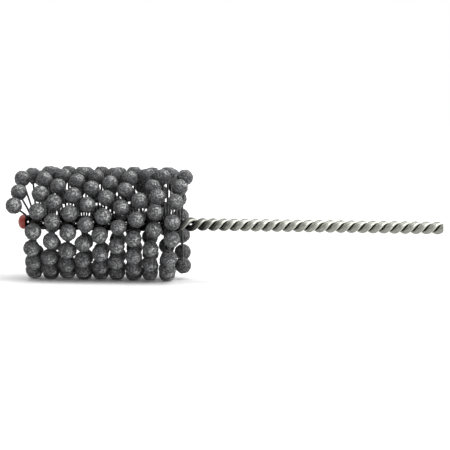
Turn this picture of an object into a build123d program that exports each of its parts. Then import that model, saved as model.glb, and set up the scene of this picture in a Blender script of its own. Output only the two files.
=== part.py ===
"""Flexible ball hone for a 51 mm bore.

Two steel wires are twisted together along X. Towards their far end they grip nylon filaments, laid side by side
between them, and the twist fans the filaments out into a two-start, left-hand screw. Each filament runs right
through the stem and carries an abrasive ball on both of its ends. A dipped cap covers the tip of the wires.

Lengths are in millimetres and angles in degrees, with +Z up and +X along the stem. x = 0 is the sheared end that
goes into the chuck, so the head lies at -X. A clock angle goes round the stem from -Y and rises towards +Z.
"""

import os
from math import atan, cos, pi, radians, sin, sqrt

from build123d import *

# Stem
overall_length = 203.2
wire_diameter = 3.05
wire_clearance = 0.01
bare_lead = 10.12
head_lead = 16.0
lead_change_length = 8.0
tip_closing_length = 1.2
wire_sides = 8
wire_sections_per_turn = 6.5

# Filaments
filament_diameter = 0.95
filament_space = 0.042
filament_grip_clearance = 0.14
filament_count = 75
filament_sides = 6
filament_row_count = 8
first_filament_from_tip = 5.65
first_filament_clock = 35.6

# Balls, with the head's diameter over them before they are ground
head_diameter = 55.0
ball_diameter = 7.7
ball_sides = 7
ball_flat_angle = 25.0
ball_ground_angle = 36.0
ball_shoulder_angle = 68.0
ball_unevenness = 0.03
ball_size_spread = 0.03
ball_shape_count = 3
balls_per_ring = 15
axial_scatter = 0.35
clock_scatter = 1.0

# Balls bent out of line, by filament and end: how many pushes along X, how far round the clock, pushes outwards
stray_push = 1.0
strays = {
    (0, -1): (-3.1, -7.5, 0.6),
    (1, -1): (-2.6, -10.6, -0.8),
    (2, -1): (-3.2, -9.5, 0.0),
    (3, -1): (-1.6, 0.0, -1.0),
    (5, 1): (-0.9, -1.2, 0.0),
    (6, 1): (-0.8, -2.7, 0.0),
    (7, 1): (0.3, -1.6, 0.0),
    (8, 1): (0.0, -1.6, 0.0),
    (14, -1): (0.7, 0.0, 0.0),
    (15, -1): (0.5, 0.0, 0.0),
    (31, -1): (0.5, 0.0, 0.0),
    (38, 1): (-0.7, 0.8, 0.0),
    (54, 1): (-0.6, 0.0, 0.0),
    (57, 1): (4.5, -1.4, -0.3),
    (63, -1): (0.7, 0.0, 0.0),
    (64, -1): (0.0, -3.2, 1.3),
    (65, -1): (-0.4, -7.4, 0.9),
    (66, -1): (-0.5, 4.0, 0.8),
    (67, -1): (0.0, 1.6, 0.0),
    (69, 1): (0.8, 0.4, 0.0),
    (70, 1): (1.7, 3.0, 0.0),
    (71, 1): (1.0, 0.0, 0.0),
    (72, 1): (1.1, 1.2, 0.0),
    (73, 1): (1.5, -0.4, 0.0),
    (74, 1): (1.8, 0.0, 0.0),
}

# Tip cap
cap_length = 4.0
cap_wall = 0.3
cap_clearance = 0.08
cap_dome_length = 2.6
cap_nose_thickness = 2.4
cap_nose_angle = 20.0
cap_dome_bands = 3
cap_sides = 16

# Worked out from the sizes above
wire_radius = wire_diameter / 2
filament_radius = filament_diameter / 2
filament_pitch = filament_diameter + filament_space
clock_step = 360 * filament_pitch / head_lead
tip_x = -overall_length
first_x = tip_x + first_filament_from_tip
last_x = first_x + filament_pitch * (filament_count - 1)
open_from_x = first_x - filament_radius
open_to_x = last_x + filament_radius
bare_from_x = open_to_x + lead_change_length
wire_tip_x = tip_x + cap_nose_thickness
closed_orbit = wire_radius + wire_clearance
open_orbit = filament_radius + filament_grip_clearance + wire_radius
ball_orbit = (head_diameter - ball_diameter) / 2


def polygon_radius(round_radius, sides):
    """The corner radius of the regular polygon that has the area of a circle."""
    return round_radius * sqrt(pi / (sides / 2 * sin(2 * pi / sides)))


def turns_at(x):
    """Turns of the twist from the last filament to x: it tightens evenly over the lead change."""
    along = x - open_to_x
    if along <= 0:
        return along / head_lead
    tightening = (1 / bare_lead - 1 / head_lead) / 2
    if along < lead_change_length:
        return along / head_lead + tightening * along**2 / lead_change_length
    return along / bare_lead - tightening * lead_change_length


def clock_at(x):
    """The clock angle of the slot between the two wires."""
    return first_filament_clock + 360 * (turns_at(x) - turns_at(first_x))


def ease(share):
    """0 up to a share of 0, 1 from a share of 1, and smooth between them."""
    share = min(max(share, 0.0), 1.0)
    return share**2 * (3 - 2 * share)


def orbit_at(x):
    """How far each wire's centre runs from the stem's axis: spread where they grip the filaments."""
    opening = ease((x - open_from_x) / tip_closing_length + 1)
    closing = ease((x - open_to_x) / lead_change_length)
    return closed_orbit + (open_orbit - closed_orbit) * (opening - closing)


def place(x, radius, clock, aside=0.0):
    """A point at a radius and a clock angle, moved aside at right angles to that radius."""
    turn = radians(clock)
    return Vector(x, aside * sin(turn) - radius * cos(turn), radius * sin(turn) + aside * cos(turn))


def wire_section(x, side_clock):
    """Corners of the wire cut square to the stem: a circle leaning along its helix is cut in an ellipse."""
    step = wire_diameter / 100
    lead = 2 * step / (turns_at(x + step) - turns_at(x - step))
    lean = atan(2 * pi * orbit_at(x) / lead)
    high = polygon_radius(wire_radius, wire_sides)
    wide = high / cos(lean)
    corners = [2 * pi * (k + 0.5) / wire_sides for k in range(wire_sides)]
    clock = clock_at(x) + side_clock
    return [place(x, orbit_at(x) + high * cos(a), clock, wide * sin(a)) for a in corners]


def wire_stations():
    """Where the wires are cut in sections: evenly round each stretch of the twist."""
    ends = [wire_tip_x, open_from_x - tip_closing_length, open_from_x, open_to_x, bare_from_x, 0.0]
    stations = []
    for start, end in zip(ends, ends[1:]):
        count = max(1, round((turns_at(end) - turns_at(start)) * wire_sections_per_turn))
        stations += [start + (end - start) * k / count for k in range(count)]
    return stations + [0.0]


def twisted_wire(side_clock):
    """One wire of the stem as a skin over its sections. Each four-sided patch is folded outwards along a diagonal,
    except those that face the other wire, which are folded inwards to stay clear of it."""
    sections = [wire_section(x, side_clock) for x in wire_stations()]
    skin = [sections[0], sections[-1]]
    for near, far in zip(sections, sections[1:]):
        for k in range(wire_sides):
            n = (k + 1) % wire_sides
            faces_other_wire = cos(2 * pi * (k + 1) / wire_sides) < -0.5
            if faces_other_wire:
                skin += [(near[k], near[n], far[n]), (near[k], far[n], far[k])]
            else:
                skin += [(near[k], near[n], far[k]), (near[n], far[n], far[k])]
    return Solid(Shell([Face(Wire.make_polygon(corners)) for corners in skin]))


def scatter(filament, end, seed):
    """A repeatable number from -1 to 1, different for each ball."""
    return sin(12.9898 * filament + 4.1414 * end + 7.233 * seed)


def ball_scale(filament, end):
    return 1 + ball_size_spread * scatter(filament, end, 1)


def grip_x(filament):
    """Where a filament crosses the stem's axis, between the wires."""
    return first_x + filament_pitch * filament


def slot_mouth(filament, end):
    """Where a filament comes out of the slot between the wires, which falls open a wire's radius from the axis."""
    return place(grip_x(filament), wire_radius, clock_at(grip_x(filament)) + 90 * (end + 1))


def ball_centre(filament, end):
    """End -1 leaves the stem along the slot and end 1 leaves it the other way. The two screws of balls are half a
    step out of line, and a ball that leans along X comes in, because its filament keeps its length."""
    grip = grip_x(filament)
    push_x, push_clock, push_out = strays.get((filament, end), (0, 0, 0))
    lean = end * filament_pitch / 4 + axial_scatter * scatter(filament, end, 2) + stray_push * push_x
    clock = clock_at(grip) + 90 * (end + 1) + end * clock_step / 4
    clock += clock_scatter * scatter(filament, end, 3) + push_clock
    return place(grip + lean, sqrt(ball_orbit**2 - lean**2) + stray_push * push_out, clock)


def ball_shape(number):
    """A lumpy ball with its filament coming up -Z: a flat where it seats, two uneven shoulders and a ground face."""
    radius = polygon_radius(ball_diameter / 2, ball_sides)
    corners = []
    angles = (ball_flat_angle, ball_shoulder_angle, 180 - ball_shoulder_angle, 180 - ball_ground_angle)
    for ring, angle in enumerate(angles):
        for k in range(ball_sides):
            turn = 2 * pi * (k + ring / 2) / ball_sides
            bump = ball_unevenness * sin(3 * k + 2 * ring + 2 * number) if ring in (1, 2) else 0
            across = radius * (1 + bump) * sin(radians(angle))
            down = radius * (1 + bump) * cos(radians(angle))
            corners.append((across * cos(turn), across * sin(turn), -down))
    return ConvexPolyhedron(corners).solid()


def seat_depth():
    """From a ball's centre to the flat on which its filament ends."""
    return polygon_radius(ball_diameter / 2, ball_sides) * cos(radians(ball_flat_angle))


def ball(filament, end, shapes):
    """One ball in its place, turned by chance about its filament."""
    centre = ball_centre(filament, end)
    outwards = Plane(origin=centre, z_dir=centre - slot_mouth(filament, end))
    spin = Rot(0, 0, 360 * scatter(filament, end, 4))
    shape = scale(shapes[filament % ball_shape_count], ball_scale(filament, end))
    return outwards.location * spin * shape


def filament_seat(filament, end):
    """The end of a filament, on its ball's flat."""
    centre = ball_centre(filament, end)
    inwards = (slot_mouth(filament, end) - centre).normalized()
    return centre + inwards * seat_depth() * ball_scale(filament, end)


def filament_rod(filament):
    """One filament, from ball to ball: straight through the slot between the wires, and bent at its two mouths.
    Two flats of its section face its neighbours along X."""
    start = filament_seat(filament, -1)
    path = Polyline(start, slot_mouth(filament, -1), slot_mouth(filament, 1), filament_seat(filament, 1))
    side = (path % 0).cross(Vector(1, 0, 0))
    section = Plane(origin=start, x_dir=side, z_dir=path % 0) * RegularPolygon(
        polygon_radius(filament_radius, filament_sides), filament_sides
    )
    return sweep(section, path=path, transition=Transition.RIGHT).solid()


def cap_section(x, inner_radius):
    """A many-sided disc square to the stem, measured across its flats."""
    return Plane(origin=(x, 0, 0), z_dir=(1, 0, 0)) * RegularPolygon(inner_radius, cap_sides, major_radius=False)


def tip_cap():
    """A domed cap over the closed wires, with its mouth towards the filaments."""
    bore = closed_orbit + wire_radius + cap_clearance
    skirt = bore + cap_wall
    sections = [cap_section(tip_x + cap_length, skirt)]
    for band in range(cap_dome_bands + 1):
        turn = radians(cap_nose_angle + (90 - cap_nose_angle) * band / cap_dome_bands)
        sections.append(cap_section(tip_x + cap_dome_length * (1 - cos(turn)), skirt * sin(turn)))
    outside = ConvexPolyhedron([corner.center() for section in sections for corner in section.vertices()])
    floor_x = wire_tip_x - wire_clearance
    return (outside - extrude(cap_section(floor_x, bore), cap_length)).solid()


def write(name, solids):
    """One node of one or more separate solids."""
    export_step(Compound(children=list(solids)), f"parts/{name}.step")


os.makedirs("parts", exist_ok=True)
write("stem_wire_a", [twisted_wire(90)])
write("stem_wire_b", [twisted_wire(-90)])
write("tip_cap", [tip_cap()])
for row in range(filament_row_count):
    write(f"filament_row_{row + 1}", [filament_rod(i) for i in range(row, filament_count, filament_row_count)])

ball_shapes = [ball_shape(number) for number in range(ball_shape_count)]
ring = 0
for first in range(0, filament_count, balls_per_ring):
    for end in (-1, 1):
        ring += 1
        members = range(first, min(first + balls_per_ring, filament_count))
        write(f"ball_ring_{ring:02d}", [ball(i, end, ball_shapes) for i in members])
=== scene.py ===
"""The looks of a flexible ball hone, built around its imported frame.

Each abrasive ball, nylon filament and stem wire is a surface worked out from the frame's own solids, so that
it lies where they do. Lengths are in metres. +X runs along the stem, out of the head, and +Z is up.
"""

from math import cos, pi, radians, sin

import bpy
import numpy as np
from bpy.props import FloatProperty, FloatVectorProperty, IntProperty, PointerProperty
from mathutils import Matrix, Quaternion, Vector


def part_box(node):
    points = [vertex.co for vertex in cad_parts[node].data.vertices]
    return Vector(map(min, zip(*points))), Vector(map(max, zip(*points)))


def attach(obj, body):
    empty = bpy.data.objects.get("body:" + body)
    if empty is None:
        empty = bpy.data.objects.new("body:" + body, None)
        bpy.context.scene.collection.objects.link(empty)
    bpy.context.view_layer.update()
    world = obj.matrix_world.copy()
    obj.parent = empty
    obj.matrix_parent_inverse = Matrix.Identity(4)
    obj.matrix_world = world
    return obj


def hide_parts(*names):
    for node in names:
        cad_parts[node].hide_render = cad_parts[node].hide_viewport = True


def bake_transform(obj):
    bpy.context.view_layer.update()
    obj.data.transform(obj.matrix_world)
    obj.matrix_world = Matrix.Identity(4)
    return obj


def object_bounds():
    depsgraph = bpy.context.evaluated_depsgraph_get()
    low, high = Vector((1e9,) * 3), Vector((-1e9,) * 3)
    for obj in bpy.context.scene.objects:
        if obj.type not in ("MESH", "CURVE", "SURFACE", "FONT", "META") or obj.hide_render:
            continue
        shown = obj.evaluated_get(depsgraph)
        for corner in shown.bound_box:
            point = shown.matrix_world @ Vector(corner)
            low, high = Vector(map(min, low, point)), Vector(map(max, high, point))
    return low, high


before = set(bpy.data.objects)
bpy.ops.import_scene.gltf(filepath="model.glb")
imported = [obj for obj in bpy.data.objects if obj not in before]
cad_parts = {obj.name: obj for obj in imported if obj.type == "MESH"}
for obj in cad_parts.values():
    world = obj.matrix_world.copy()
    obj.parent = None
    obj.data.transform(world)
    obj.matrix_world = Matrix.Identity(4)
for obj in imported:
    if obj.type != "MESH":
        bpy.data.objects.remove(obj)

bl_info = {
    "name": "Flexible Ball Hone",
    "version": (1, 0, 0),
    "blender": (4, 5, 0),
    "location": "View3D > Sidebar > Hone",
    "description": "Dresses a flexible ball hone: abrasive balls, filaments, twisted stem and tip cap",
    "category": "Add Mesh",
}

cad_low, cad_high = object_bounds()


# Names in the frame

STEM = "stem"
HEAD = "ball_head"
CAP_NODE = "tip_cap"
RING_NODES = sorted(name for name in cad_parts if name.startswith("ball_ring"))
ROW_NODES = sorted(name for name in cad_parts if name.startswith("filament_row"))
WIRE_NODES = sorted(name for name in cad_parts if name.startswith("stem_wire"))


# Measures of the balls

HIGHLIGHT_LEAN = 0.5  # how far the worn patch leans from straight outwards towards the chuck end, where the light comes from: a painted highlight
WEAR_AND_HIGHLIGHT_FROM = 0.74  # cosine of the angle from the patch's middle at which the wear and its painted highlight start
WEAR_AND_HIGHLIGHT_FULL = 0.97  # cosine of the angle inside which they are full
NECK_ANGLE = 0.22  # how far from the filament its neck falls off, seen from the ball's middle, in radians
GRAIN_FINENESS = 2.4  # how many times finer the small grains are than the coarse ones


# Measures of the filaments

MOUTH_REACH = 0.003  # a solid's corners nearer to the stem's axis than this are at the slot's mouths
SEAT_REACH = 0.01  # its corners further from the axis than this are at its ends
SEAT_DEPTH = 0.0012  # how far a filament runs on into its ball


# Measures of the wires

SECTION_GAP = 2e-6  # a solid's corners nearer to each other along the stem than this are in one section
UV_PER_METRE = 60  # how fast u runs along a wire
DRAWN_LINES = 34.0  # number of drawn lines round a wire
GROOVE_SHADE_FULL = 0.0016  # how far from the stem's axis the painted shade between the wires is solid
GROOVE_SHADE_END = 0.0022  # how far from the axis the painted shade ends
HIGHLIGHT_SIDE = 0.788  # where round a wire its painted highlight lies, in turns
HIGHLIGHT_FULL = 0.03  # how far to either side of that the painted highlight is full, in turns
HIGHLIGHT_END = 0.11  # how far to either side the painted highlight ends, in turns
NO_HIGHLIGHT_SIDE = 0.25  # a place round a wire with no painted highlight, in turns
HEAD_END = max(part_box(name)[1].x for name in ROW_NODES)  # the chuck side of the last filament
INSIDE_SHADE_FADE = 0.004  # the last length of the head, over which the painted shade on the wires inside it fades
DARK_BESIDE_HEAD_LENGTH = 0.030  # how far the darkening reaches along the stem from the head


# Measures of the cap

CAP_DOME = 0.0026  # length of its rounded nose
CAP_NOSE = 0.0023  # thickness of its plastic in front of the wires
CAP_WAVES = 3  # number of soft waves round its dipped skirt
CAP_WAVE_HEIGHT = 0.012  # how far they are from round, as a share of the radius
CAP_WAVE_PHASE = 1  # their phase at +Y, in radians
DOME_STEPS = 13  # rings of the mesh over the nose
BEAD_STEPS = 8  # rings round the bead at the mouth
WALL_STEPS = 4  # rings along the skirt, and along the bore


# Features of each pattern to the metre

ABRASIVE_GRAINS = 1500.0
ABRASIVE_MOTTLE = 620.0
DUST_CLOUDS = 220.0
DUST_SPECKS = 2600.0
NYLON_FLAWS = 1800.0
ZINC_SPANGLES = 700.0
CAP_PATCHES = 500.0
CAP_DIMPLES = 420.0


# How far a height of 1 stands out of each finish

GRAIN_DEPTH = 0.00015
NYLON_DEPTH = 0.00003
ZINC_DEPTH = 0.00004
CAP_DEPTH = 0.00012


# Measures of the stage

AIM = Vector((-0.10349, 0, -0.00008))  # the place on the hone that is in the middle of the photograph
SENSOR_WIDTH = 36  # of the camera, in mm
FLOOR_REACH = 6.0  # from the floor's middle to its edge
FLOOR_GAP = 0.0002  # between the lowest ball and the floor
FLOOR_GLOW = 0.04  # what the floor adds to its own white where it is seen
WALL_TOP = 0.2  # up to this sine of its slope, a mirrored ray meets only the walls of the room
CEILING = 0.8  # from this sine of its slope on, it meets only the ceiling

# The direction that each lamp lies in, and how wide it looks from the hone, in degrees
LAMPS = {
    "key": ((0.7, -0.7, 0.21), 60),
    "top": ((0.15, -0.06, 1), 56),
    "left": ((-0.74, 0, 0.67), 60),
    "right": ((0.95, -0.17, 0.24), 60),
}


# Settings that a user would change

class BallSettings(bpy.types.PropertyGroup):
    """Size, roughness and colours of the abrasive balls."""

    roundness: FloatProperty(
        name="Roundness",
        description="Radius of the round ball, as a share of how far its faceted solid's corners reach",
        default=0.955,
        min=0.8,
        max=1.0,
    )
    face_relief: FloatProperty(
        name="Face Relief",
        description="How much of its roundness the ground face keeps",
        default=0.25,
        min=0.0,
        max=1.0,
        subtype="FACTOR",
    )
    around: IntProperty(
        name="Faces Around",
        description="Mesh faces round each ball",
        default=60,
        min=12,
        max=96,
    )
    grains: IntProperty(
        name="Grains",
        description="Coarse grains over the face of each ball",
        default=220,
        min=20,
        max=800,
    )
    grain_height: FloatProperty(
        name="Grain Height",
        description="How far the coarse grains stand out of the ball",
        default=0.0002,
        unit="LENGTH",
    )
    lump_height: FloatProperty(
        name="Lump Height",
        description="How far the ball is from round",
        default=0.00012,
        unit="LENGTH",
    )
    neck_length: FloatProperty(
        name="Neck Length",
        description="How far the abrasive runs down the filament",
        default=0.0009,
        unit="LENGTH",
    )
    colour: FloatVectorProperty(
        name="Resin Colour",
        description="Colour of the resin between the grains",
        subtype="COLOR",
        default=(0.020, 0.020, 0.022),
        min=0,
        max=1,
    )
    grain_colour: FloatVectorProperty(
        name="Grain Colour",
        description="Colour of the lightest whole grains",
        subtype="COLOR",
        default=(0.14, 0.141, 0.145),
        min=0,
        max=1,
    )
    worn_colour: FloatVectorProperty(
        name="Worn Colour",
        description="Colour of the grains that the bore has worn open",
        subtype="COLOR",
        default=(0.41, 0.415, 0.41),
        min=0,
        max=1,
    )


class FilamentSettings(bpy.types.PropertyGroup):
    """Thickness and colour of the nylon filaments."""

    diameter: FloatProperty(
        name="Diameter",
        description="Thickness of a filament",
        default=0.00095,
        unit="LENGTH",
    )
    colour: FloatVectorProperty(
        name="Nylon Colour",
        description="Colour of the nylon",
        subtype="COLOR",
        default=(0.006, 0.006, 0.0065),
        min=0,
        max=1,
    )
    dust_colour: FloatVectorProperty(
        name="Dust Colour",
        description="Colour of the grinding dust on filaments, wires and cap",
        subtype="COLOR",
        default=(0.11, 0.11, 0.10),
        min=0,
        max=1,
    )


class StemSettings(bpy.types.PropertyGroup):
    """Thickness and finish of the two wires."""

    diameter: FloatProperty(
        name="Wire Diameter",
        description="Thickness of each wire",
        default=0.00305,
        unit="LENGTH",
    )
    colour: FloatVectorProperty(
        name="Zinc Colour",
        description="Colour of the galvanised wire",
        subtype="COLOR",
        default=(0.275, 0.278, 0.245),
        min=0,
        max=1,
    )
    # Colour of the painted highlight on one side of each wire.
    highlight_colour: FloatVectorProperty(
        name="Highlight Colour",
        description="Colour of the side of each wire that twisting has rubbed bright",
        subtype="COLOR",
        default=(0.74, 0.75, 0.67),
        min=0,
        max=1,
    )
    # Colour of the painted shade in the groove between the wires and on the wires inside the head.
    groove_shade_colour: FloatVectorProperty(
        name="Groove Shade Colour",
        description="Colour of the oil and dirt between the wires and inside the head",
        subtype="COLOR",
        default=(0.018, 0.018, 0.016),
        min=0,
        max=1,
    )


class CapSettings(bpy.types.PropertyGroup):
    """Rim and colour of the tip cap."""

    rim_thickness: FloatProperty(
        name="Rim Thickness",
        description="Thickness of the bead at the cap's mouth",
        default=0.0005,
        unit="LENGTH",
    )
    colour: FloatVectorProperty(
        name="Cap Colour",
        description="Colour of the dipped plastic",
        subtype="COLOR",
        default=(0.34, 0.027, 0.012),
        min=0,
        max=1,
    )


class StageSettings(bpy.types.PropertyGroup):
    """Camera, room and lamps."""

    turn: FloatProperty(
        name="Camera Turn",
        description="Angle of the camera towards the chuck end",
        subtype="ANGLE",
        default=radians(4.73),
    )
    tilt: FloatProperty(
        name="Camera Tilt",
        description="Angle of the camera above the floor",
        subtype="ANGLE",
        default=radians(3.44),
    )
    roll: FloatProperty(
        name="Camera Roll",
        description="Roll of the camera",
        subtype="ANGLE",
        default=radians(0.6),
    )
    distance: FloatProperty(
        name="Camera Distance",
        description="From the camera to the middle of the hone",
        default=1.0,
        unit="LENGTH",
    )
    lens: FloatProperty(
        name="Lens",
        description="Focal length on a 36 mm sensor, in mm",
        default=168.0,
    )
    fill: FloatProperty(
        name="Room Light",
        description="Light that comes evenly from all round",
        default=0.44,
        min=0,
        max=1,
    )
    walls: FloatProperty(
        name="Walls",
        description="How bright the walls of the room look in the wires",
        default=0.75,
        min=0,
        max=1,
    )
    key: FloatProperty(
        name="Key Light",
        description="What the lamp in front adds to the floor",
        default=0.08,
        min=0,
        max=1,
    )
    top: FloatProperty(
        name="Top Light",
        description="What the lamp overhead adds to the floor",
        default=0.54,
        min=0,
        max=1,
    )
    left: FloatProperty(
        name="Left Light",
        description="What the lamp beyond the tip adds to the floor",
        default=0.04,
        min=0,
        max=1,
    )
    right: FloatProperty(
        name="Right Light",
        description="What the low lamp beyond the stem adds to the floor",
        default=0.16,
        min=0,
        max=1,
    )


# Reading the frame

def solids_of(node):
    """The corners of each separate solid of a node. Equal corners are merged, and then each corner takes the
    lowest label among the triangles it is in, until nothing changes."""
    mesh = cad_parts[node].data
    corners = np.empty(len(mesh.vertices) * 3)
    mesh.vertices.foreach_get("co", corners)
    ends = np.empty(len(mesh.loops), dtype=np.int64)
    mesh.loops.foreach_get("vertex_index", ends)
    rounded = np.round(corners.reshape(-1, 3), decimals=7)
    points, merged = np.unique(rounded, axis=0, return_inverse=True)
    triangles = merged.reshape(-1)[ends].reshape(-1, 3)
    labels = np.arange(len(points))
    while True:
        lowest = labels.copy()
        np.minimum.at(lowest, triangles, labels[triangles].min(axis=1)[:, None])
        if np.array_equal(lowest, labels):
            break
        labels = lowest
    return [points[labels == label] for label in np.unique(labels)]


def unit(vectors):
    """Vectors at a length of 1."""
    return vectors / np.linalg.norm(vectors, axis=-1, keepdims=True)


def from_axis(points):
    """Vectors from the stem's axis to points, square to the axis."""
    return points * (0, 1, 1)


# Mesh making

def grid_faces(rows, columns):
    """Quads of a grid of points, numbered row by row, whose columns close on themselves."""
    row, column = np.meshgrid(np.arange(rows - 1), np.arange(columns), indexing="ij")
    beside = (column + 1) % columns
    this_row, next_row = row * columns, (row + 1) * columns
    quads = np.stack([this_row + column, this_row + beside, next_row + beside, next_row + column], axis=-1)
    return quads.reshape(-1, 4)


def fan(centre, ring):
    """Triangles from a point to each edge of a closed ring of points."""
    return np.stack([np.full(len(ring), centre), ring, np.roll(ring, -1)], axis=-1)


def closed_tube(rings):
    """Points, quads and triangles of a tube through rings of points (rows, columns, 3), closed by a fan at
    either end. A ring runs anticlockwise as seen from the tube's first end, looking along it."""
    rows, columns = rings.shape[:2]
    points = np.concatenate([rings.reshape(-1, 3), rings[:1].mean(axis=1), rings[-1:].mean(axis=1)])
    first, last = rows * columns, rows * columns + 1
    ring = np.arange(columns)
    caps = np.concatenate([fan(first, ring), fan(last, (rows - 1) * columns + ring)[:, ::-1]])
    return points, grid_faces(rows, columns)[:, ::-1], caps


def joined(shapes):
    """Several shapes, each of points, quads and triangles, as one. Each shape's faces are numbered on past
    the points of the shapes before it."""
    starts = np.cumsum([0] + [len(points) for points, quads, triangles in shapes])
    points = np.concatenate([shape[0] for shape in shapes])
    quads = np.concatenate([shape[1] + start for shape, start in zip(shapes, starts)])
    triangles = np.concatenate([shape[2] + start for shape, start in zip(shapes, starts)])
    return points, quads, triangles


def mesh_object(name, material, shape, uv=None):
    """A smooth-shaded mesh object from a shape of points, quads and triangles, with uv given for each corner
    of its faces, quads first."""
    points, quads, triangles = shape
    mesh = bpy.data.meshes.new(name)
    corners = np.concatenate([quads.reshape(-1), triangles.reshape(-1)]).astype(np.int32)
    sizes = np.concatenate([np.full(len(quads), 4), np.full(len(triangles), 3)]).astype(np.int32)
    starts = np.concatenate([[0], np.cumsum(sizes)[:-1]]).astype(np.int32)
    mesh.vertices.add(len(points))
    mesh.vertices.foreach_set("co", points.astype(np.float32).reshape(-1))
    mesh.loops.add(len(corners))
    mesh.loops.foreach_set("vertex_index", corners)
    mesh.polygons.add(len(sizes))
    mesh.polygons.foreach_set("loop_start", starts)
    mesh.polygons.foreach_set("use_smooth", np.ones(len(sizes), dtype=bool))
    mesh.update(calc_edges=True)
    if uv is not None:
        layer = mesh.uv_layers.new(name="UVMap")
        layer.data.foreach_set("uv", uv.astype(np.float32).reshape(-1))
    mesh.validate()
    mesh.materials.append(material)
    made = bpy.data.objects.new(name, mesh)
    bpy.context.scene.collection.objects.link(made)
    return made


# Shader building

def feed(tree, inputs, **values):
    """Links a socket, or sets a plain value, on each input, which goes by its name or by its number as _0."""
    for name, value in values.items():
        socket = inputs[int(name[1:]) if name[0] == "_" else name.replace("_", " ")]
        if isinstance(value, bpy.types.NodeSocket):
            tree.links.new(value, socket)
        else:
            socket.default_value = value


def add(tree, kind, settings=None, **values):
    """Adds a node with its settings, and feeds its inputs."""
    made = tree.nodes.new(kind)
    for name, value in (settings or {}).items():
        setattr(made, name, value)
    feed(tree, made.inputs, **values)
    return made


def calculate(tree, operation, a, b=0.0):
    """The value that comes out of a Math node."""
    return add(tree, "ShaderNodeMath", {"operation": operation}, _0=a, _1=b).outputs[0]


def plus(tree, a, b):
    """The sum of two values."""
    return calculate(tree, "ADD", a, b)


def minus(tree, a, b):
    """The first value less the second."""
    return calculate(tree, "SUBTRACT", a, b)


def times(tree, a, b):
    """The product of two values."""
    return calculate(tree, "MULTIPLY", a, b)


def split(tree, vector):
    """The three parts of a vector."""
    return add(tree, "ShaderNodeSeparateXYZ", Vector=vector).outputs


def mix(tree, share, a, b):
    """The colour a turning into b. Each of them is a socket or a plain colour."""
    a, b = [colour if isinstance(colour, bpy.types.NodeSocket) else (*colour, 1.0) for colour in (a, b)]
    return add(tree, "ShaderNodeMix", {"data_type": "RGBA"}, _0=share, _6=a, _7=b).outputs[2]


def darker(colour, share):
    """A plain colour at a share of its brightness."""
    return [share * part for part in colour]


def ramp(tree, value, low, high, to_low=0.0, to_high=1.0):
    """A value eased from to_low, at low, to to_high, at high."""
    eased = {"interpolation_type": "SMOOTHSTEP"}
    made = add(tree, "ShaderNodeMapRange", eased, _0=value, _1=low, _2=high, _3=to_low, _4=to_high)
    return made.outputs[0]


def noise(tree, vector, scale, detail=3.0, roughness=0.6):
    """Soft noise from 0 to 1, with scale features to the metre."""
    made = add(tree, "ShaderNodeTexNoise", Vector=vector, Scale=scale, Detail=detail, Roughness=roughness)
    return made.outputs["Fac"]


def bump(tree, height, distance, strength=1.0):
    """The normal of a surface on which a height of 1 stands out by a distance."""
    return add(tree, "ShaderNodeBump", Height=height, Distance=distance, Strength=strength).outputs[0]


def new_group(name, inputs, outputs):
    """A shader node group with sockets of the kinds named. Gives its tree, its inputs and its output node's
    inputs."""
    tree = bpy.data.node_groups.new(name, "ShaderNodeTree")
    for socket, kind in inputs.items():
        tree.interface.new_socket(socket, in_out="INPUT", socket_type="NodeSocket" + kind)
    for socket, kind in outputs.items():
        tree.interface.new_socket(socket, in_out="OUTPUT", socket_type="NodeSocket" + kind)
    return tree, tree.nodes.new("NodeGroupInput").outputs, tree.nodes.new("NodeGroupOutput").inputs


def new_material(name):
    """An empty material: itself, its tree, its Principled shader and its texture coordinates."""
    made = bpy.data.materials.new(name)
    made.use_nodes = True
    tree = made.node_tree
    return made, tree, tree.nodes["Principled BSDF"], tree.nodes.new("ShaderNodeTexCoord").outputs


# Effects that materials share

def abrasive_grain_group():
    """Sharp grains at two sizes: how bright each grain is, the creases between them, and their height."""
    tree, given, result = new_group(
        "abrasive_grain",
        {"Vector": "Vector", "Scale": "Float"},
        {"Grain": "Float", "Crease": "Float", "Height": "Float"},
    )
    fine_scale = times(tree, given["Scale"], GRAIN_FINENESS)
    coarse = add(tree, "ShaderNodeTexVoronoi", Vector=given["Vector"], Scale=given["Scale"]).outputs
    fine = add(tree, "ShaderNodeTexVoronoi", Vector=given["Vector"], Scale=fine_scale).outputs
    coarse_tone = add(tree, "ShaderNodeSeparateColor", Color=coarse["Color"]).outputs[0]
    fine_tone = add(tree, "ShaderNodeSeparateColor", Color=fine["Color"]).outputs[1]
    tone = plus(tree, times(tree, coarse_tone, 0.66), times(tree, fine_tone, 0.34))
    between = ramp(tree, coarse["Distance"], 0.35, 0.75)
    between_fine = ramp(tree, fine["Distance"], 0.4, 0.8, 0.0, 0.7)
    dome = minus(tree, 1.0, coarse["Distance"])
    small_dome = minus(tree, 1.0, fine["Distance"])
    height = plus(tree, times(tree, dome, 0.6), times(tree, small_dome, 0.35))
    feed(
        tree,
        result,
        Grain=tone,
        Crease=calculate(tree, "MAXIMUM", between, between_fine),
        Height=plus(tree, height, times(tree, tone, 0.35)),
    )
    return tree


def dust_group():
    """Fine dust that lies in soft patches."""
    tree, given, result = new_group(
        "grinding_dust",
        {"Vector": "Vector", "Amount": "Float"},
        {"Mask": "Float"},
    )
    cloud = ramp(tree, noise(tree, given["Vector"], DUST_CLOUDS), 0.35, 0.75)
    speck = ramp(tree, noise(tree, given["Vector"], DUST_SPECKS, detail=2.0), 0.5, 0.68)
    both = times(tree, plus(tree, cloud, 0.25), plus(tree, speck, 0.3))
    feed(tree, result, Mask=times(tree, both, given["Amount"]))
    return tree


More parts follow.
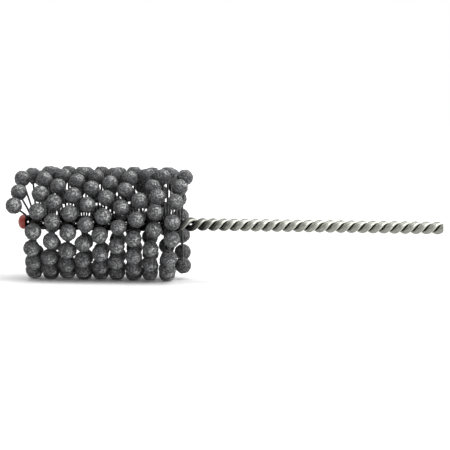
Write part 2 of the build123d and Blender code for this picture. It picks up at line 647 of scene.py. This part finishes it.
def drawn_group():
    """Lines that a drawing die leaves along a wire, from a UV map with u along it and v round it."""
    tree, given, result = new_group("drawn_lines", {"UV": "Vector", "Lines": "Float"}, {"Mask": "Float"})
    parts = split(tree, given["UV"])
    around = times(tree, parts[1], given["Lines"])
    stretched = add(tree, "ShaderNodeCombineXYZ", X=parts[0], Y=around).outputs[0]
    feed(tree, result, Mask=noise(tree, stretched, scale=1.0, detail=4.0, roughness=0.7))
    return tree


GROUP_MAKERS = {
    "abrasive_grain": abrasive_grain_group,
    "grinding_dust": dust_group,
    "drawn_lines": drawn_group,
}


def effect(tree, name, **values):
    """Places a shared effect in a material, making its group the first time, and gives its outputs."""
    group = bpy.data.node_groups.get(name) or GROUP_MAKERS[name]()
    return add(tree, "ShaderNodeGroup", {"node_tree": group}, **values).outputs


# Materials

def abrasive_material(settings):
    """Dark grain in resin. The grains that are worn open, on the outer face of each ball, glint in it. The
    lighter worn patch leans towards the chuck end, where the light comes from, so it is partly a painted
    highlight.
    """
    made, tree, shader, coordinates = new_material("abrasive_grit")
    place = coordinates["Object"]
    grain = effect(tree, "abrasive_grain", Vector=place, Scale=ABRASIVE_GRAINS)
    mottle = noise(tree, place, ABRASIVE_MOTTLE, detail=2.0, roughness=0.5)
    wear_and_highlight = add(tree, "ShaderNodeAttribute", {"attribute_name": "wear_and_highlight"}).outputs["Fac"]
    tone = plus(tree, times(tree, grain["Grain"], 0.7), times(tree, mottle, 0.3))
    colour = mix(tree, ramp(tree, tone, 0.34, 0.74), settings.colour, settings.grain_colour)
    colour = mix(tree, times(tree, grain["Crease"], 0.5), colour, settings.colour)
    # The worn patch is lighter: real wear, leaned towards the light as a painted highlight.
    haze = times(tree, wear_and_highlight, 0.1)
    colour = mix(tree, haze, colour, settings.worn_colour)
    whole = minus(tree, 1.0, times(tree, grain["Crease"], 0.6))
    open_grain = times(tree, ramp(tree, tone, 0.52, 0.64), ramp(tree, wear_and_highlight, 0.0, 0.8, 0.05, 1.0))
    glint = times(tree, open_grain, whole)
    feed(
        tree,
        shader.inputs,
        Base_Color=mix(tree, glint, colour, settings.worn_colour),
        Metallic=times(tree, glint, 0.6),
        Roughness=ramp(tree, glint, 0.0, 0.6, 0.66, 0.4),
        Normal=bump(tree, grain["Height"], GRAIN_DEPTH, strength=0.9),
    )
    return made


def nylon_material(settings):
    """Black nylon with a dull shine, dusty in patches."""
    made, tree, shader, coordinates = new_material("black_nylon")
    place = coordinates["Object"]
    dust = effect(tree, "grinding_dust", Vector=place, Amount=0.2)["Mask"]
    feed(
        tree,
        shader.inputs,
        Base_Color=mix(tree, dust, settings.colour, settings.dust_colour),
        Roughness=ramp(tree, dust, 0.0, 0.4, 0.24, 0.7),
        Normal=bump(tree, noise(tree, place, NYLON_FLAWS), NYLON_DEPTH),
    )
    return made


def zinc_with_lines(tree, spangle, lines, colour):
    """Zinc that is darker in the spangle's hollows and along the drawn lines."""
    zinc = mix(tree, ramp(tree, spangle, 0.35, 0.65), darker(colour, 0.8), colour)
    return mix(tree, ramp(tree, lines, 0.5, 0.75, 0.0, 0.3), zinc, darker(colour, 0.5))


def darker_beside_head(tree, along, spangle, dust):
    """How much darker the stem is, from 1 at the head down to 0, patchy with the spangle and the dust."""
    near = ramp(tree, along, HEAD_END, HEAD_END + DARK_BESIDE_HEAD_LENGTH, 1.0, 0.0)
    smeared = plus(tree, times(tree, spangle, 0.5), plus(tree, dust, 0.6))
    return calculate(tree, "MINIMUM", times(tree, near, smeared), 1.0)


def galvanised_material(settings, dust_colour):
    """Drawn, galvanised wire. One side of each wire carries a painted highlight, painted shade fills the
    groove where the wires meet and darkens it inside the head, and it is darker and patchy beside the head."""
    made, tree, shader, coordinates = new_material("galvanised_wire")
    place = coordinates["Object"]
    along, across, up = split(tree, place)
    lines = effect(tree, "drawn_lines", UV=coordinates["UV"], Lines=DRAWN_LINES)["Mask"]
    spangle = noise(tree, place, ZINC_SPANGLES, detail=4.0)
    zinc = zinc_with_lines(tree, spangle, lines, settings.colour)

    dust = effect(tree, "grinding_dust", Vector=place, Amount=1.0)["Mask"]
    # The stem is darker and patchy beside the head.
    beside_head_dark = darker_beside_head(tree, along, spangle, dust)
    zinc = mix(tree, beside_head_dark, zinc, darker(dust_colour, 0.6))

    # A painted highlight on one side of each wire, where the light falls, with less metal to it.
    round_wire = split(tree, coordinates["UV"])[1]
    from_highlight = calculate(tree, "ABSOLUTE", minus(tree, round_wire, HIGHLIGHT_SIDE))
    painted_highlight = ramp(tree, from_highlight, HIGHLIGHT_FULL, HIGHLIGHT_END, 1.0, 0.0)
    bright = times(tree, painted_highlight, minus(tree, 1.0, times(tree, beside_head_dark, 0.5)))
    zinc = mix(tree, bright, zinc, settings.highlight_colour)

    # Painted shade on the wires inside the head.
    inside_head_shade = ramp(tree, along, HEAD_END - INSIDE_SHADE_FADE, HEAD_END, 0.9, 0.0)
    zinc = mix(tree, inside_head_shade, zinc, settings.groove_shade_colour)
    # Painted shade in the groove where the two wires meet, near the stem's axis.
    squares = plus(tree, times(tree, across, across), times(tree, up, up))
    groove_shade = ramp(tree, calculate(tree, "SQRT", squares), GROOVE_SHADE_FULL, GROOVE_SHADE_END, 1.0, 0.0)
    height = plus(tree, lines, times(tree, spangle, 0.7))
    feed(
        tree,
        shader.inputs,
        Base_Color=mix(tree, groove_shade, zinc, settings.groove_shade_colour),
        Metallic=ramp(tree, painted_highlight, 0.0, 1.0, 0.85, 0.5),
        Roughness=ramp(tree, lines, 0.3, 0.7, 0.2, 0.34),
        Normal=bump(tree, height, ZINC_DEPTH),
    )
    return made


def cap_material(settings, dust_colour):
    """Dipped red plastic, a little uneven and dusty."""
    made, tree, shader, coordinates = new_material("dipped_plastic")
    place = coordinates["Object"]
    dust = effect(tree, "grinding_dust", Vector=place, Amount=0.12)["Mask"]
    patchy = mix(tree, noise(tree, place, CAP_PATCHES), darker(settings.colour, 0.7), settings.colour)
    dimples = noise(tree, place, CAP_DIMPLES, detail=2.0)
    feed(
        tree,
        shader.inputs,
        Base_Color=mix(tree, dust, patchy, dust_colour),
        Roughness=ramp(tree, dust, 0.0, 0.4, 0.3, 0.7),
        Normal=bump(tree, dimples, CAP_DEPTH),
    )
    return made


def floor_material():
    """Matt white that glows a little where the camera or a gloss sees it."""
    made, tree, shader = new_material("white_floor")[:3]
    rays = tree.nodes.new("ShaderNodeLightPath").outputs
    seen = calculate(tree, "MAXIMUM", rays["Is Camera Ray"], rays["Is Glossy Ray"])
    feed(
        tree,
        shader.inputs,
        Base_Color=(1, 1, 1, 1),
        Roughness=0.9,
        Specular_IOR_Level=0.0,
        Emission_Color=(1, 1, 1, 1),
        Emission_Strength=times(tree, seen, FLOOR_GLOW),
    )
    return made


# Balls on the frame

def lumps(directions, random, waves=7, tightness=3.2):
    """A smooth, uneven number for each direction: the mean of sines that run across the ball in random
    directions."""
    across = unit(random.normal(size=(waves, 3)))
    shift = random.uniform(0, 2 * pi, waves)
    return np.sin(tightness * (directions @ across.T) + shift).mean(axis=-1)


def grain_heights(directions, random, count):
    """Coarse grains: each direction takes the random height of its nearest grain, less half the square of how
    many grain radii it is from that grain's middle. The square of that radius is 4 / count, because count
    round grains share the 4 pi of a ball of radius 1."""
    middles = unit(random.normal(size=(count, 3)))
    rise = random.uniform(-0.5, 0.5, count)
    nearness = directions @ middles.T
    squared_radius = 4 / count
    squared_offset = 2 * (1 - nearness.max(axis=-1)) / squared_radius
    return rise[nearness.argmax(axis=-1)] - np.clip(squared_offset, 0, 2) / 2


def sphere_through(corners):
    """Centre and radius of the sphere nearest to some points: the p.p = 2 c.p + k that fits them best has its
    centre at c, and its radius is the root of k + c.c."""
    sums = np.column_stack([2 * corners, np.ones(len(corners))])
    *centre, k = np.linalg.lstsq(sums, (corners**2).sum(axis=1), rcond=None)[0]
    centre = np.array(centre)
    return centre, np.sqrt(k + centre @ centre)


def ball_directions(outwards, along, around):
    """Unit vectors on a grid of angles: v from the middle of the ground face to the neck, and u round that
    line. The two poles come last."""
    rows = around // 2 + 1
    aside = np.cross(outwards, along)
    v = pi * (np.arange(1, rows) / rows)[:, None]
    u = 2 * pi * np.arange(around)[None, :] / around
    grid = (
        np.cos(v)[..., None] * outwards
        + (np.sin(v) * np.cos(u))[..., None] * along
        + (np.sin(v) * np.sin(u))[..., None] * aside
    )
    return np.concatenate([grid.reshape(-1, 3), outwards[None], -outwards[None]])


def ball_faces(around):
    """Quads and triangles of a ball on its grid of angles, with a fan at either pole."""
    rows = around // 2
    ring = np.arange(around)
    outer, neck = rows * around, rows * around + 1
    triangles = np.concatenate([fan(outer, ring), fan(neck, (rows - 1) * around + ring)[:, ::-1]])
    return grid_faces(rows, around)[:, ::-1], triangles


def ball_points(corners, settings, random):
    """One ball, and its mask of wear and painted highlight at each point. Its radius is round, plus lumps,
    plus a neck on its filament that falls off as a bell curve. What stands further from the stem's axis than
    its solid's ground face is ground back towards it, grains go on top, and nothing passes the CAD box. The
    mask is the cosine of the angle from the middle of the worn patch, brought from 0 to 1 between two marks.
    The patch leans from straight outwards towards the chuck end, where the light comes from, so it is partly
    a painted highlight."""
    centre, reach_of_corners = sphere_through(corners)
    radius = reach_of_corners * settings.roundness
    outwards = unit(from_axis(centre))
    along = unit(np.array((1.0, 0.0, 0.0)) - outwards * outwards[0])
    directions = ball_directions(outwards, along, settings.around)
    uneven = settings.lump_height * lumps(directions, random)
    from_neck = np.arccos(np.clip(-directions @ outwards, -1, 1))
    neck = settings.neck_length * np.exp(-((from_neck / NECK_ANGLE) ** 2))
    points = centre + directions * (radius + uneven + neck)[:, None]
    face = np.linalg.norm(from_axis(centre)) + ((corners - centre) @ outwards).max()
    ground = np.clip(np.linalg.norm(from_axis(points), axis=1) - face, 0, None)
    points = points - unit(from_axis(points)) * (ground * (1 - settings.face_relief))[:, None]
    grains = grain_heights(directions, random, settings.grains)
    points = points + directions * (settings.grain_height * grains)[:, None]
    # The patch leans towards the chuck end, where the light comes from: a painted highlight on the real wear.
    facing = directions @ unit(outwards + HIGHLIGHT_LEAN * along)
    wear_and_highlight = np.clip((facing - WEAR_AND_HIGHLIGHT_FROM) / (WEAR_AND_HIGHLIGHT_FULL - WEAR_AND_HIGHLIGHT_FROM), 0, 1)
    return np.clip(points, cad_low, cad_high), wear_and_highlight


def make_balls(node, settings, material):
    """One piece of all the balls of a node."""
    random = np.random.default_rng(RING_NODES.index(node))
    faces = ball_faces(settings.around)
    balls = [ball_points(corners, settings, random) for corners in solids_of(node)]
    shape = joined([(points, *faces) for points, wear_and_highlight in balls])
    made = mesh_object(node.replace("ball_ring", "abrasive_balls"), material, shape)
    layer = made.data.attributes.new("wear_and_highlight", "FLOAT", "POINT")
    layer.data.foreach_set("value", np.concatenate([wear_and_highlight for points, wear_and_highlight in balls]).astype(np.float32))
    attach(made, HEAD)
    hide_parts(node)


# Filaments on the frame

def filament_legs(corners):
    """The grip point, the way through the slot and the two seats of a filament, from its solid: the corners
    at the slot's two mouths, and those at either end, parted by the side of the stem that they lie on."""
    reach = np.linalg.norm(from_axis(corners), axis=1)
    mouths = corners[reach < MOUTH_REACH]
    ends = corners[reach > SEAT_REACH]
    grip = mouths.mean(axis=0)
    near = (mouths - grip) @ (mouths[0] - grip) > 0
    through = unit(mouths[near].mean(axis=0) - mouths[~near].mean(axis=0))
    side = (ends - grip) @ through > 0
    return grip, through, ends[side].mean(axis=0), ends[~side].mean(axis=0)


def leg_rings(grip, seat, through, radius, steps=14, sides=8):
    """Rings of a round filament along a cubic Hermite curve. It leaves the grip along the slot, and meets its
    ball along the straight line from grip to seat, a little way inside the ball."""
    seat = seat + unit(seat - grip) * SEAT_DEPTH
    leaving = through * np.linalg.norm(seat - grip)
    arriving = seat - grip
    t = np.linspace(0, 1, steps)[:, None]
    path = (
        (2 * t**3 - 3 * t**2 + 1) * grip
        + (t**3 - 2 * t**2 + t) * leaving
        + (3 * t**2 - 2 * t**3) * seat
        + (t**3 - t**2) * arriving
    )
    heading = unit(np.gradient(path, axis=0))
    across = unit(np.cross(heading, (1.0, 0.0, 0.0)))
    beside = np.cross(across, heading)
    turn = 2 * pi * np.arange(sides) / sides
    ring = np.cos(turn)[None, :, None] * across[:, None] + np.sin(turn)[None, :, None] * beside[:, None]
    return path[:, None] + radius * ring


def make_legs(name, node, legs, settings, material):
    """One piece of a row's filaments on one side of the stem. It bends from just outside the wires to just
    short of the balls."""
    radius = settings.diameter / 2
    tubes = [closed_tube(leg_rings(grip, seat, through, radius)) for grip, seat, through in legs]
    made = mesh_object(name, material, joined(tubes))
    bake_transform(made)
    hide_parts(node)


def make_filaments(node, settings, material):
    """Two pieces for each row of filaments, one for each side of the stem."""
    one_side, other_side = [], []
    for corners in solids_of(node):
        grip, through, one, other = filament_legs(corners)
        if one_side and through @ one_side[0][2] < 0:
            one, other, through = other, one, -through
        one_side.append((grip, one, through))
        other_side.append((grip, other, -through))
    name = node.replace("filament_row", "filaments")
    make_legs(f"{name}_a", node, one_side, settings, material)
    make_legs(f"{name}_b", node, other_side, settings, material)


# Wires on the frame

def wire_line(node):
    """The wire's centre line as arrays: x, how far it runs from the stem's axis, and its angle, from the
    middle of each of its solid's sections, which are square to the stem."""
    corners = solids_of(node)[0]
    stations = np.unique(np.round(corners[:, 0], decimals=6))
    sections = [corners[np.abs(corners[:, 0] - x) < SECTION_GAP] for x in stations]
    middles = np.array([section.mean(axis=0) for section in sections])
    angle = np.unwrap(np.arctan2(middles[:, 2], middles[:, 1]))
    return stations, np.hypot(middles[:, 1], middles[:, 2]), angle


def carried_on(x, stations, values):
    """The values at x, which go on straight before the first station and past the last one."""
    before = (values[1] - values[0]) / (stations[1] - stations[0])
    past = (values[-1] - values[-2]) / (stations[-1] - stations[-2])
    inside = np.interp(x, stations, values)
    return inside + np.clip(x - stations[-1], 0, None) * past + np.clip(x - stations[0], None, 0) * before


def wire_rings(x, a, line, radius):
    """Rings of a round wire on a helix, cut square to the stem at each x. The point at an angle a round the
    wire belongs to the round section whose middle lies radius * sin(a) * sin(lean) further back, so both of
    the wire's ends are flat."""
    stations, orbit, angle = line
    per_metre = np.gradient(np.interp(x[:, 0], stations, angle), x[:, 0])[:, None]
    lean = np.arctan(per_metre * np.interp(x, stations, orbit))
    back = x - radius * np.sin(a) * np.sin(lean)
    turn = carried_on(back, stations, angle)
    out = np.interp(back, stations, orbit) + radius * np.cos(a)
    aside = -radius * np.sin(a) * np.cos(lean)
    y = out * np.cos(turn) - aside * np.sin(turn)
    z = out * np.sin(turn) + aside * np.cos(turn)
    return np.stack([np.broadcast_to(x, y.shape), y, z], axis=-1)


def wire_uv(x, a, quads, triangles):
    """UV of each corner of a wire's faces: u goes with x, and v runs once round the wire and closes at 1. The
    corners of its two flat ends all lie where no highlight is painted."""
    u, v = np.broadcast_arrays(x * UV_PER_METRE, a / (2 * pi))
    side = np.stack([u, v], axis=-1).reshape(-1, 2)[quads]
    around = side[..., 1]
    around[(around == 0) & (around.max(axis=1, keepdims=True) > 0.5)] = 1.0
    ends = np.broadcast_to((0.0, NO_HIGHLIGHT_SIDE), (triangles.size, 2))
    return np.concatenate([side.reshape(-1, 2), ends])


def make_wire(node, settings, material, steps=900, sides=28):
    """One piece of a round wire that follows its solid's centre line."""
    line = wire_line(node)
    stations = line[0]
    x = np.linspace(stations[0], stations[-1], steps)[:, None]
    a = 2 * pi * np.arange(sides)[None, :] / sides
    points, quads, triangles = closed_tube(wire_rings(x, a, line, settings.diameter / 2))
    uv = wire_uv(x, a, quads, triangles)
    name = node.replace("stem_wire", "twisted_wire")
    made = mesh_object(name, material, (points, quads, triangles), uv)
    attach(made, STEM)
    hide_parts(node)


# Cap on the frame

def steps_on(start, end, count):
    """The ends of a count of even steps from start to end."""
    return np.linspace(start, end, count + 1)[1:]


def make_cap(settings, material, sides=64):
    """A dome, a skirt and a bore turned round the stem's axis. The dome is a quarter of an ellipse, and a
    round bead joins the skirt to the bore at the mouth. Soft waves run round the skirt, and they grow from
    nothing over the length of the dome."""
    low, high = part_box(CAP_NODE)
    nose, mouth = low.x, high.x
    skirt = (high.y - low.y) / 2
    bead = settings.rim_thickness / 2
    bore = skirt - 2 * bead
    floor = nose + CAP_NOSE
    dome_turn = steps_on(0, pi / 2, DOME_STEPS)
    bead_turn = steps_on(0, pi, BEAD_STEPS)
    outside = steps_on(nose + CAP_DOME, mouth - bead, WALL_STEPS)
    inside = steps_on(mouth - bead, floor, WALL_STEPS)
    x = np.concatenate([
        nose + CAP_DOME * (1 - np.cos(dome_turn)),
        outside,
        mouth - bead + bead * np.sin(bead_turn),
        inside,
    ])
    radius = np.concatenate([
        skirt * np.sin(dome_turn),
        np.full(len(outside), skirt),
        skirt - bead + bead * np.cos(bead_turn),
        np.full(len(inside), bore),
    ])
    turn = 2 * pi * np.arange(sides) / sides
    onset = np.clip((x - nose) / CAP_DOME, 0, 1)[:, None]
    wave = 1 + CAP_WAVE_HEIGHT * np.sin(CAP_WAVES * turn + CAP_WAVE_PHASE) * onset
    across = radius[:, None] * wave * np.cos(turn)
    up = radius[:, None] * wave * np.sin(turn)
    rings = np.stack([np.broadcast_to(x[:, None], wave.shape), across, up], axis=-1)
    points = np.concatenate([rings.reshape(-1, 3), [(nose, 0, 0), (floor, 0, 0)]])
    count = len(x) * sides
    ring = np.arange(sides)
    triangles = np.concatenate([fan(count, ring)[:, ::-1], fan(count + 1, count - sides + ring)])
    made = mesh_object("dipped_tip_cap", material, (points, grid_faces(len(x), sides), triangles))
    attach(made, STEM)
    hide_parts(CAP_NODE)


# Stage

def wide_lamp(name, towards, width, share):
    """A lamp far off in a direction, as wide as an angle. Its strength gives a level floor this share of full
    light, because a sun of strength pi overhead lights a white floor fully."""
    towards = Vector(towards).normalized()
    data = bpy.data.lights.new(name, "SUN")
    data.angle = width
    data.energy = share * pi / towards.z
    lamp = bpy.data.objects.new(name, data)
    lamp.rotation_euler = (-towards).to_track_quat("-Z", "Y").to_euler()
    bpy.context.scene.collection.objects.link(lamp)


def make_floor():
    """A wide white floor just under the head, which keeps the hone's shadow."""
    square = np.array([(-1, -1, 0), (1, -1, 0), (1, 1, 0), (-1, 1, 0)], dtype=float)
    points = square * FLOOR_REACH + (AIM.x, 0, cad_low[2] - FLOOR_GAP)
    shape = points, np.array([[0, 1, 2, 3]]), np.empty((0, 3), dtype=int)
    mesh_object("floor", floor_material(), shape)


def make_world(settings):
    """White to the camera, and a soft even fill for rough surfaces. Glossy ones see a room with a white
    ceiling and darker walls."""
    world = bpy.data.worlds.new("white_room")
    bpy.context.scene.world = world
    world.use_nodes = True
    tree = world.node_tree
    rays = tree.nodes.new("ShaderNodeLightPath").outputs
    towards = tree.nodes.new("ShaderNodeTexCoord").outputs["Generated"]
    mirrored = ramp(tree, split(tree, towards)[2], WALL_TOP, CEILING, settings.walls, 1.0)
    level = ramp(tree, rays["Is Glossy Ray"], 0, 1, settings.fill, mirrored)
    strength = calculate(tree, "MAXIMUM", level, rays["Is Camera Ray"])
    feed(tree, tree.nodes["Background"].inputs, Color=(1, 1, 1, 1), Strength=strength)


def make_camera(settings):
    """A camera at a distance from the aim, turned from straight in front of the hone towards its chuck end,
    raised by its tilt and rolled about its own line."""
    turn, tilt = settings.turn, settings.tilt
    away = Vector((sin(turn) * cos(tilt), -cos(turn) * cos(tilt), sin(tilt)))
    data = bpy.data.cameras.new("camera")
    data.lens = settings.lens
    data.sensor_width = SENSOR_WIDTH
    camera = bpy.data.objects.new("camera", data)
    camera.location = AIM + away * settings.distance
    aimed = (-away).to_track_quat("-Z", "Y")
    camera.rotation_euler = (aimed @ Quaternion((0, 0, 1), settings.roll)).to_euler()
    bpy.context.scene.collection.objects.link(camera)
    bpy.context.scene.camera = camera


# Operators and panel

class HONE_OT_balls(bpy.types.Operator):
    """Make the abrasive balls of every ring"""

    bl_idname = "hone.balls"
    bl_label = "Abrasive Balls"

    def execute(self, context):
        settings = context.scene.hone_balls
        material = abrasive_material(settings)
        for node in RING_NODES:
            make_balls(node, settings, material)
        return {"FINISHED"}


class HONE_OT_filaments(bpy.types.Operator):
    """Make the nylon filaments of every row"""

    bl_idname = "hone.filaments"
    bl_label = "Filaments"

    def execute(self, context):
        settings = context.scene.hone_filaments
        material = nylon_material(settings)
        for node in ROW_NODES:
            make_filaments(node, settings, material)
        return {"FINISHED"}


class HONE_OT_stem(bpy.types.Operator):
    """Make the two twisted wires of the stem"""

    bl_idname = "hone.stem"
    bl_label = "Twisted Stem"

    def execute(self, context):
        settings = context.scene.hone_stem
        material = galvanised_material(settings, context.scene.hone_filaments.dust_colour)
        for node in WIRE_NODES:
            make_wire(node, settings, material)
        return {"FINISHED"}


class HONE_OT_cap(bpy.types.Operator):
    """Make the dipped cap on the tip"""

    bl_idname = "hone.cap"
    bl_label = "Tip Cap"

    def execute(self, context):
        settings = context.scene.hone_cap
        make_cap(settings, cap_material(settings, context.scene.hone_filaments.dust_colour))
        return {"FINISHED"}


class HONE_OT_stage(bpy.types.Operator):
    """Make the floor, the world, the camera and the lamps"""

    bl_idname = "hone.stage"
    bl_label = "Stage"

    def execute(self, context):
        settings = context.scene.hone_stage
        make_floor()
        make_world(settings)
        make_camera(settings)
        for name, (towards, width) in LAMPS.items():
            wide_lamp(name, towards, radians(width), getattr(settings, name))
        context.scene.view_settings.view_transform = "Standard"
        return {"FINISHED"}


MAKERS = {
    "hone.balls": "hone_balls",
    "hone.filaments": "hone_filaments",
    "hone.stem": "hone_stem",
    "hone.cap": "hone_cap",
    "hone.stage": "hone_stage",
}


class HONE_PT_panel(bpy.types.Panel):
    """Settings and makers of the hone"""

    bl_label = "Flexible Ball Hone"
    bl_idname = "HONE_PT_panel"
    bl_space_type = "VIEW_3D"
    bl_region_type = "UI"
    bl_category = "Hone"

    def draw(self, context):
        for operator, group in MAKERS.items():
            box = self.layout.box()
            settings = getattr(context.scene, group)
            for name in settings.__annotations__:
                box.prop(settings, name)
            box.operator(operator)


GROUPS = {
    "hone_balls": BallSettings,
    "hone_filaments": FilamentSettings,
    "hone_stem": StemSettings,
    "hone_cap": CapSettings,
    "hone_stage": StageSettings,
}
CLASSES = (HONE_OT_balls, HONE_OT_filaments, HONE_OT_stem, HONE_OT_cap, HONE_OT_stage, HONE_PT_panel)


def register():
    """Puts each group of settings on the scene, and makes the operators and the panel known."""
    for name, group in GROUPS.items():
        bpy.utils.register_class(group)
        setattr(bpy.types.Scene, name, PointerProperty(type=group))
    for made in CLASSES:
        bpy.utils.register_class(made)


def unregister():
    """Takes away all that register has put in place."""
    for made in reversed(CLASSES):
        bpy.utils.unregister_class(made)
    for name, group in GROUPS.items():
        delattr(bpy.types.Scene, name)
        bpy.utils.unregister_class(group)


def main():
    """Makes every piece and the stage."""
    register()
    bpy.ops.hone.balls()
    bpy.ops.hone.filaments()
    bpy.ops.hone.stem()
    bpy.ops.hone.cap()
    bpy.ops.hone.stage()


if __name__ == "__main__":
    main()
